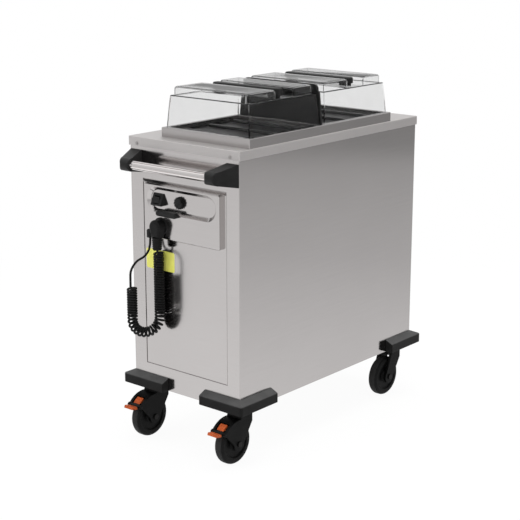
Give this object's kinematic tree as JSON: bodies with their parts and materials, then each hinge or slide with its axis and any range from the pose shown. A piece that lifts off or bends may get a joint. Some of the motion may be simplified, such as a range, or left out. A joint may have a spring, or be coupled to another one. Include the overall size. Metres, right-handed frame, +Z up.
{
  "type": "heated plate dispenser trolley",
  "caption": "Stainless trolley on castors with sprung heated wells for plates under clear lids, push handle, recessed controls and a curly mains cord.",
  "frame": {"origin": "on the floor, within 6 mm of the middle of the trolley without its cord", "axes": "+Z up, -Y towards the operator's end with the push handle and the controls, +X to the right of an operator who stands there and looks along +Y"},
  "size_m": [0.462, 0.9685, 1.0423],
  "materials": {
    "stainless": "brushed",
    "bright_steel": "polished",
    "black_plastic": "satin",
    "bumper_rubber": "matte",
    "cord_rubber": "satin",
    "clear_plastic": "clear",
    "orange_plastic": "satin",
    "wheel_plastic": "satin",
    "tyre_rubber": "matte"
  },
  "bodies": {
    "cabinet": {"base_pan": "stainless", "side_panel_left": "stainless", "side_panel_right": "stainless", "rear_panel": "stainless", "front_frame": "stainless", "service_panel": "stainless", "control_plate": "stainless", "top_deck": "stainless", "deck_screws": "stainless", "rim_frame": "stainless", "well_liner_front": "stainless", "well_liner_rear": "stainless", "castor_plates": "stainless", "handle_tube": "bright_steel", "guide_rods": "bright_steel", "lift_spring_front": "bright_steel", "lift_spring_rear": "bright_steel", "heating_elements": "bright_steel", "switch_housing": "black_plastic", "parking_socket": "black_plastic", "socket_hood": "black_plastic", "cord_outlet": "black_plastic", "thermostat": "black_plastic", "terminal_block": "black_plastic", "lid_divider": "black_plastic", "handle_bracket_left": "black_plastic", "handle_bracket_right": "black_plastic", "bumper_front_left": "bumper_rubber", "bumper_front_right": "bumper_rubber", "bumper_rear_left": "bumper_rubber", "bumper_rear_right": "bumper_rubber", "mains_plug": "cord_rubber", "curly_cord": "cord_rubber", "cord_tail": "cord_rubber"},
    "castor_front_left": {"castor_fork_front_left": "black_plastic", "castor_axle_front_left": "bright_steel"},
    "wheel_front_left": {"wheel_core_front_left": "wheel_plastic", "tyre_front_left": "tyre_rubber"},
    "castor_front_right": {"castor_fork_front_right": "black_plastic", "castor_axle_front_right": "bright_steel"},
    "wheel_front_right": {"wheel_core_front_right": "wheel_plastic", "tyre_front_right": "tyre_rubber"},
    "castor_rear_left": {"castor_fork_rear_left": "black_plastic", "castor_axle_rear_left": "bright_steel"},
    "wheel_rear_left": {"wheel_core_rear_left": "wheel_plastic", "tyre_rear_left": "tyre_rubber"},
    "castor_rear_right": {"castor_fork_rear_right": "black_plastic", "castor_axle_rear_right": "bright_steel"},
    "wheel_rear_right": {"wheel_core_rear_right": "wheel_plastic", "tyre_rear_right": "tyre_rubber"},
    "brake_left": {"brake_pedal_left": "orange_plastic"},
    "brake_right": {"brake_pedal_right": "orange_plastic"},
    "cover_front": {"lid_front": "clear_plastic", "lid_handle_front": "black_plastic"},
    "lift_front": {"platform_front": "stainless"},
    "cover_rear": {"lid_rear": "clear_plastic", "lid_handle_rear": "black_plastic"},
    "lift_rear": {"platform_rear": "stainless"},
    "knob": {"temperature_knob": "black_plastic"},
    "rocker": {"switch_rocker": "black_plastic"}
  },
  "joints": [
    {"name": "castor_swivel_front_left", "type": "hinge", "parent": "cabinet", "child": "castor_front_left", "pos_m": [-0.165, -0.344, 0.145], "axis": [0, 0, 1], "continuous": true},
    {"name": "wheel_spin_front_left", "type": "hinge", "parent": "castor_front_left", "child": "wheel_front_left", "pos_m": [-0.165, -0.377, 0.0625], "axis": [1, 0, 0], "continuous": true},
    {"name": "castor_swivel_front_right", "type": "hinge", "parent": "cabinet", "child": "castor_front_right", "pos_m": [0.165, -0.344, 0.145], "axis": [0, 0, 1], "continuous": true},
    {"name": "wheel_spin_front_right", "type": "hinge", "parent": "castor_front_right", "child": "wheel_front_right", "pos_m": [0.165, -0.377, 0.0625], "axis": [1, 0, 0], "continuous": true},
    {"name": "castor_swivel_rear_left", "type": "hinge", "parent": "cabinet", "child": "castor_rear_left", "pos_m": [-0.165, 0.394, 0.145], "axis": [0, 0, 1], "continuous": true},
    {"name": "wheel_spin_rear_left", "type": "hinge", "parent": "castor_rear_left", "child": "wheel_rear_left", "pos_m": [-0.165, 0.361, 0.0625], "axis": [1, 0, 0], "continuous": true},
    {"name": "castor_swivel_rear_right", "type": "hinge", "parent": "cabinet", "child": "castor_rear_right", "pos_m": [0.165, 0.394, 0.145], "axis": [0, 0, 1], "continuous": true},
    {"name": "wheel_spin_rear_right", "type": "hinge", "parent": "castor_rear_right", "child": "wheel_rear_right", "pos_m": [0.165, 0.361, 0.0625], "axis": [1, 0, 0], "continuous": true},
    {"name": "brake_press_left", "type": "hinge", "parent": "castor_front_left", "child": "brake_left", "pos_m": [-0.165, -0.43295, 0.10621], "axis": [1, 0, 0], "range_deg": [0, 12]},
    {"name": "brake_press_right", "type": "hinge", "parent": "castor_front_right", "child": "brake_right", "pos_m": [0.165, -0.43295, 0.10621], "axis": [1, 0, 0], "range_deg": [0, 12]},
    {"name": "cover_lift_front", "type": "slide", "parent": "cabinet", "child": "cover_front", "axis": [0, 0, 1], "range_m": [0, 0.15]},
    {"name": "platform_lift_front", "type": "slide", "parent": "cabinet", "child": "lift_front", "axis": [0, 0, 1], "range_m": [-0.44, 0], "stiffness_N_per_m": 600, "springref_m": 0.25, "deforming": ["lift_spring_front"]},
    {"name": "cover_lift_rear", "type": "slide", "parent": "cabinet", "child": "cover_rear", "axis": [0, 0, 1], "range_m": [0, 0.15]},
    {"name": "platform_lift_rear", "type": "slide", "parent": "cabinet", "child": "lift_rear", "axis": [0, 0, 1], "range_m": [-0.44, 0], "stiffness_N_per_m": 600, "springref_m": 0.25, "deforming": ["lift_spring_rear"]},
    {"name": "knob_turn", "type": "hinge", "parent": "cabinet", "child": "knob", "pos_m": [-0.011, -0.3955, 0.731], "axis": [0, -1, 0], "range_deg": [-90, 170]},
    {"name": "rocker_press", "type": "hinge", "parent": "cabinet", "child": "rocker", "pos_m": [-0.092, -0.39643, 0.72898], "axis": [1, 0, 0], "range_deg": [-16, 0]}
  ]
}
